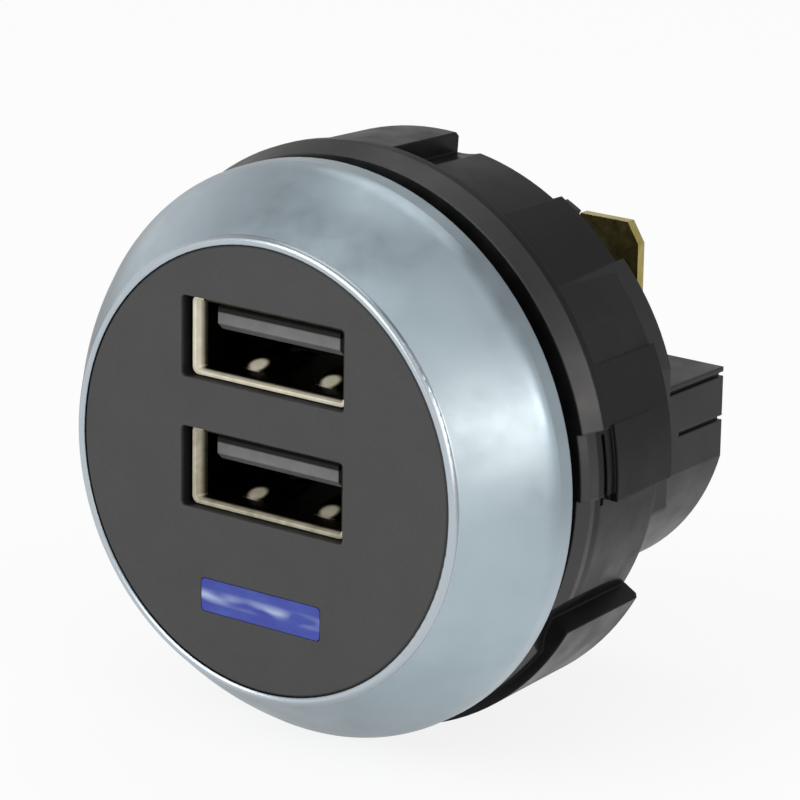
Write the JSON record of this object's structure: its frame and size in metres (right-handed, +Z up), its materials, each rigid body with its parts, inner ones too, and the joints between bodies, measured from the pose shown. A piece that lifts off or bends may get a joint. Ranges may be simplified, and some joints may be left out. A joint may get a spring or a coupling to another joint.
{
  "type": "car usb socket",
  "caption": "Round panel-mount charging socket for a vehicle, with two outlets, a light bar, a silver bezel, a clamping ring nut and blade terminals.",
  "frame": {"origin": "on the socket's axis, in the plane of the panel's front face, where the bezel seats", "axes": "+Y along the axis from the outlets towards the terminals, so the face looks along -Y; +Z up, towards the outlets' tongues; +X to the right as seen from the front"},
  "size_m": [0.0439, 0.0368, 0.0441],
  "materials": {
    "bezel": "satin",
    "face": "fine mottled matt",
    "window": "clear blue, smooth",
    "housing": "satin",
    "rear_housing": "satin",
    "nut": "satin",
    "gasket": "matt",
    "blade": "stamped sheet",
    "shell": "nickel plated",
    "tongue": "fine matt",
    "contact": "gold flashed",
    "circuit_board": "solder mask",
    "pins": "tinned",
    "ferrite": "sintered, dull",
    "can": "bare can",
    "chip": "moulded, dull",
    "led": "smooth"
  },
  "bodies": {
    "root": {"bezel_ring": "bezel", "front_face": "face", "light_window": "window", "main_body": "housing", "panel_gasket": "gasket", "ring_nut": "nut", "rear_cap": "rear_housing", "blade_positive": "blade", "blade_negative": "blade", "usb_shell_upper": "shell", "usb_shell_lower": "shell", "usb_tongue_upper": "tongue", "usb_tongue_lower": "tongue", "port_board": "circuit_board", "power_board": "circuit_board", "board_header": "pins", "inductor": "ferrite", "input_capacitor": "can", "output_capacitor_left": "can", "output_capacitor_right": "can", "converter_chip": "chip", "charge_chip": "chip", "catch_diode": "chip", "input_fuse": "chip", "light_led": "led", "usb_contact_upper_1": "contact", "usb_contact_upper_2": "contact", "usb_contact_upper_3": "contact", "usb_contact_upper_4": "contact", "usb_contact_lower_1": "contact", "usb_contact_lower_2": "contact", "usb_contact_lower_3": "contact", "usb_contact_lower_4": "contact"}
  },
  "joints": []
}
